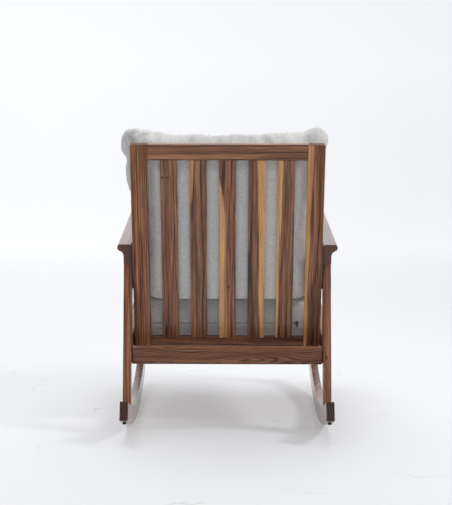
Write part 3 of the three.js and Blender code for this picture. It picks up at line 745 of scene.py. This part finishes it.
def seat_cushion():
    """A boxed cushion: crowned top and bottom panels and a boxing that pulls in between corners."""
    columns, rows, layers = 64, 60, 12
    half = SEAT_WIDTH / 2 - 0.004
    corner = 0.042
    inset = 0.002

    def outline(count_across, count_along):
        """Points round the plan, from the rear left corner, with rounded corners."""
        loop = []
        x, y0, y1 = half, -0.004, -SEAT_LENGTH + 0.004
        sides = [((x, y0), (-x, y0), count_across), ((-x, y0), (-x, y1), count_along),
                 ((-x, y1), (x, y1), count_across), ((x, y1), (x, y0), count_along)]
        for start, end, count in sides:
            for k in range(count):
                t = k / count
                loop.append((start[0] + (end[0] - start[0]) * t, start[1] + (end[1] - start[1]) * t))
        return [soften(px, py) for px, py in loop]

    def soften(px, py):
        cx = half - corner
        cy0, cy1 = -0.004 - corner, -SEAT_LENGTH + 0.004 + corner
        qx = max(-cx, min(cx, px))
        qy = max(cy1, min(cy0, py))
        dx, dy = px - qx, py - qy
        if abs(dx) < 1e-9 or abs(dy) < 1e-9:
            return px, py
        reach = max(abs(dx), abs(dy))
        scale = reach / math.hypot(dx, dy)
        return qx + dx * scale, qy + dy * scale

    points, faces = [], []
    loop = outline(columns, rows)
    count = len(loop)
    for k in range(layers + 1):
        z = inset / 2 + (SEAT_HEIGHT + SEAT_LOFT - inset) * k / layers
        for px, py in loop:
            points.append(SEAT.world(px, py, z))
    for k in range(layers):
        for i in range(count):
            j = (i + 1) % count
            faces.append([k * count + i, k * count + j, (k + 1) * count + j, (k + 1) * count + i])

    def panel(base, z, upward):
        grid = {}
        for i in range(columns + 1):
            for j in range(rows + 1):
                if j == 0:
                    grid[i, j] = base + i
                elif i == columns:
                    grid[i, j] = base + columns + j
                elif j == rows:
                    grid[i, j] = base + columns + rows + (columns - i)
                elif i == 0:
                    grid[i, j] = base + (2 * columns + rows + (rows - j)) % count
                else:
                    px = half - 2 * half * i / columns
                    py = -0.004 - (SEAT_LENGTH - 0.008) * j / rows
                    grid[i, j] = len(points)
                    points.append(SEAT.world(*soften(px, py), z))
        for i in range(columns):
            for j in range(rows):
                quad = [grid[i, j], grid[i, j + 1], grid[i + 1, j + 1], grid[i + 1, j]]
                faces.append(quad[::-1] if upward else quad)

    panel(layers * count, SEAT_HEIGHT + SEAT_LOFT - inset / 2, True)
    panel(0, inset / 2, False)
    piece = mesh_piece("seat_cushion_case", points, faces, linen("linen_seat", SEAT, 8.0))
    seams = [[k * count + i for i in range(count)] for k in (0, layers)]
    inflate(piece, 4.0, 0.02, 0.020, sum(seams, []))
    normals = [vertex.normal.copy() for vertex in piece.data.vertices]
    zipper_end = SEAT.extent("seat_zipper")[1]
    for vertex, normal in zip(piece.data.vertices, normals):
        x, y, z = SEAT.local(vertex.co)
        push = 0.003 * noise.noise(Vector((x * 6, y * 6, z * 20 + 2)))
        push += 0.0016 * noise.noise(Vector((x * 26, y * 12, z * 14 + 6)))
        if y > -0.03:
            far = math.hypot(x - zipper_end[0] - 0.006, (z - SEAT_HEIGHT / 2) * 0.7)
            push -= 0.007 * math.exp(-(far / 0.007) ** 2) - 0.003 * math.exp(-((far - 0.016) / 0.008) ** 2)
        near_corner = smoothstep(half - 0.085, half, abs(x)) * smoothstep(-0.085, 0.0, y)
        drop = (0.030 if x < 0 else 0.016) * near_corner * smoothstep(0.3, 1.0, z / SEAT_HEIGHT)
        vertex.co = Vector(vertex.co) + normal * push - SEAT.z * drop
    rest_seat_cushion(piece)
    belly(piece)
    seam_cords(piece, seams)
    subdivide(piece)
    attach(piece, "seat_cushion")
    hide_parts("seat_cushion")
    return piece


def rest_seat_cushion(piece):
    """Flat on the slats, flat under the back cushion, and clear of the back frame and the legs."""
    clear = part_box("rear_leg_left")[0].x - 0.003
    for vertex in piece.data.vertices:
        x, y, z = SEAT.local(vertex.co)
        z = max(z, 0.0004)
        roof = SEAT_HEIGHT + SEAT_LOFT + 0.014 * smoothstep(-0.13, -0.30, y)
        if z > roof - 0.004:
            z = roof - 0.004 * math.exp(-(z - roof + 0.004) / 0.004)
        if y > -0.003:
            y = -0.003 * math.exp(-(y + 0.003) / 0.003)
        x = max(-clear, min(clear, x))
        vertex.co = SEAT.world(x, y, z)
    piece.data.update()


def belly(piece):
    """Draws the rear boxing in towards its seams and fills it a little between them."""
    for vertex in piece.data.vertices:
        x, y, z = SEAT.local(vertex.co)
        share = z / (SEAT_HEIGHT + SEAT_LOFT)
        draw = 0.009 * smoothstep(0.60, 1.0, share) + 0.010 * smoothstep(0.17, 0.0, share)
        draw -= 0.002 * bell(share, 0.45, 0.32)
        vertex.co = SEAT.world(x, y - draw * smoothstep(-0.06, -0.005, y), z)
    piece.data.update()


def seam_cords(piece, seams):
    """A narrow turned seam stands up along the top edge of the boxing; the bottom edge is left as it is."""
    for loop in seams:
        for i in loop:
            vertex = piece.data.vertices[i]
            x, y, z = SEAT.local(vertex.co)
            centre_z = SEAT_HEIGHT / 2
            vertex.co = SEAT.world(x, y, z + (0.0012 if z > centre_z else 0.0))
    piece.data.update()


seat_cushion()


# ------------------------------------------------------------------- zipper

def zipper_materials():
    tape, tree, shader = new_material("zipper_tape")
    spot = place(tree)
    x, y, z = tree.split(spot)
    teeth = tree.math("SINE", tree.math("MULTIPLY", x, 2 * math.pi / 0.0022))
    rib = tree.math("SINE", tree.math("MULTIPLY", z, 2 * math.pi / 0.0014))
    weave = tree.math("MULTIPLY_ADD", tree.math("MULTIPLY", teeth, rib), 0.5, 0.5)
    tree.feed(shader["Base Color"], tree.mix(weave, (0.36, 0.36, 0.35, 1), (0.60, 0.60, 0.58, 1)))
    tree.feed(shader["Normal"], tree.bump(weave, 0.0004, 0.8))
    shader["Roughness"].default_value = 0.75
    metal = plain_material("zipper_metal", (0.10, 0.10, 0.105), 0.36, 1.0, 1800.0, 0.00005)
    return tape, metal


def placket():
    """Two folded strips of linen that nearly cover the zipper."""
    material = linen("linen_placket", SEAT, 21.0)
    low, high = SEAT.extent("seat_zipper")
    middle_z = (low[2] + high[2]) / 2
    section = [(0.0240, -0.0006), (0.0135, 0.0020), (0.0070, 0.0027), (0.0034, 0.0034), (0.0026, 0.0028),
               (0.0044, 0.0025), (0.0055, 0.0017), (0.0135, 0.0016)]
    steps, ring = 150, len(section)
    for sign, name in ((1, "zipper_flap_upper"), (-1, "zipper_flap_lower")):
        points, faces = [], []
        for i in range(steps + 1):
            x = low[0] - 0.004 + (high[0] - low[0] + 0.008) * i / steps
            wave = 0.0010 * noise.noise(Vector((x * 42, sign * 3.0, 1.0)))
            for across, out in section:
                lift = wave * (1 - across / 0.0137) * 0.9
                points.append(SEAT.world(x, out + lift * 0.7, middle_z + sign * (across + abs(wave) * 0.5)))
        for i in range(steps):
            for k in range(ring):
                a, b = i * ring + k, i * ring + (k + 1) % ring
                quad = [a, b, b + ring, a + ring]
                faces.append(quad if sign < 0 else quad[::-1])
        for start in (0, steps * ring):
            end = [start + k for k in range(ring)]
            faces.append(end if (sign > 0) == (start == 0) else end[::-1])
        strip = mesh_piece(name, points, faces, material)
        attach(strip, "seat_cushion")


tape_material, metal_material = zipper_materials()
dress("seat_zipper", tape_material, 0.0002, 2)
dress("zipper_slider", metal_material, 0.0005, 3)
dress("zipper_pull", metal_material, 0.0005, 3)


# -------------------------------------------------------- floor, light, camera

WALL_Y = 6.4
FLOOR_GLOW = 0.29
WALL_GLOW = 0.575


def studio():
    """A faintly glowing sheet swept up into a far wall, a key light, a wide overhead light, a dim world."""
    material, tree, shader = new_material("pale_floor")
    cloud = tree.noise(place(tree), scale=1.1, detail=3.0)
    pale = tree.mix(cloud, (0.555, 0.565, 0.580, 1), (0.575, 0.585, 0.600, 1))
    field = tree.noise(place(tree), 4.0, scale=1.7, detail=3.0)
    vein = tree.math("ABSOLUTE", tree.math("SUBTRACT", field, 0.5))
    broken = tree.remap(tree.noise(place(tree), 9.0, scale=5.0), 0.50, 0.60, smooth=True)
    x, y, z = tree.split(place(tree))
    near = tree.combine(x, tree.math("MULTIPLY", y, 0.7), tree.math("MULTIPLY", z, 30.0))
    reach = tree.vector("LENGTH", near)
    broken = tree.math("MULTIPLY", broken, tree.remap(reach, 1.3, 0.6, smooth=True))
    scratch = tree.math("MULTIPLY", tree.remap(vein, 0.0022, 0.0006), broken)
    scuffed = tree.mix(tree.math("MULTIPLY", scratch, 0.55), pale, (0.30, 0.30, 0.31, 1))
    tree.feed(shader["Base Color"], scuffed)
    shader["Roughness"].default_value = 0.75
    shader["Specular IOR Level"].default_value = 0.25
    glow = tree.remap(y, -0.6, -5.6, FLOOR_GLOW, WALL_GLOW, smooth=True)
    spread = tree.math("MULTIPLY_ADD", y, -0.19, 1.0)
    glow = tree.math("MULTIPLY", glow, tree.remap(tree.math("DIVIDE", x, spread), -0.7, 0.7, 0.92, 1.06))
    shader["Emission Color"].default_value = (0.965, 0.968, 0.985, 1)
    tree.feed(shader["Emission Strength"], glow)

    bend = 1.4
    profile = [(12.0, 0.0), (bend - WALL_Y, 0.0)]
    profile += [(bend - WALL_Y - bend * math.sin(a * math.pi / 48), bend * (1 - math.cos(a * math.pi / 48)))
                for a in range(1, 25)]
    profile.append((-WALL_Y, 6.0))
    points = [(side, py, pz) for py, pz in profile for side in (-12.0, 12.0)]
    faces = [[2 * k, 2 * k + 1, 2 * k + 3, 2 * k + 2] for k in range(len(profile) - 1)]
    mesh_piece("floor", points, faces, material)

    world = bpy.data.worlds.new("studio")
    bpy.context.scene.world = world
    world.use_nodes = True
    background = world.node_tree.nodes["Background"]
    background.inputs["Color"].default_value = (0.93, 0.95, 0.98, 1)
    background.inputs["Strength"].default_value = 0.44
    area_light("key", (-3.40, 1.05, 2.90), (0, 0.05, 0.45), 1.0, 66)
    area_light("overhead", (0.3, -0.5, 3.4), (0.2, 0, 0.3), 3.4, 76)


def area_light(name, at, towards, size, power):
    data = bpy.data.lights.new(name, "AREA")
    data.shape = "DISK"
    data.size = size
    data.energy = power
    light = bpy.data.objects.new(name, data)
    light.location = at
    light.visible_camera = False
    light.rotation_euler = (Vector(towards) - Vector(at)).to_track_quat("-Z", "Y").to_euler()
    bpy.context.scene.collection.objects.link(light)


def camera():
    """Stands behind the chair, a little above its back, and looks down on it."""
    data = bpy.data.cameras.new("camera")
    data.sensor_width = 36.0
    data.lens = 86.1
    cam = bpy.data.objects.new("camera", data)
    pitch, yaw, roll = math.radians(6.89), math.radians(0.07), math.radians(0.12)
    turn = Matrix.Rotation(math.pi + yaw, 4, "Z") @ Matrix.Rotation(math.pi / 2 - pitch, 4, "X")
    cam.matrix_world = Matrix.Translation((0.0, 4.040, 1.036)) @ turn @ Matrix.Rotation(roll, 4, "Z")
    bpy.context.scene.collection.objects.link(cam)
    bpy.context.scene.camera = cam


placket()
studio()
camera()
bpy.context.scene.view_settings.view_transform = "Standard"
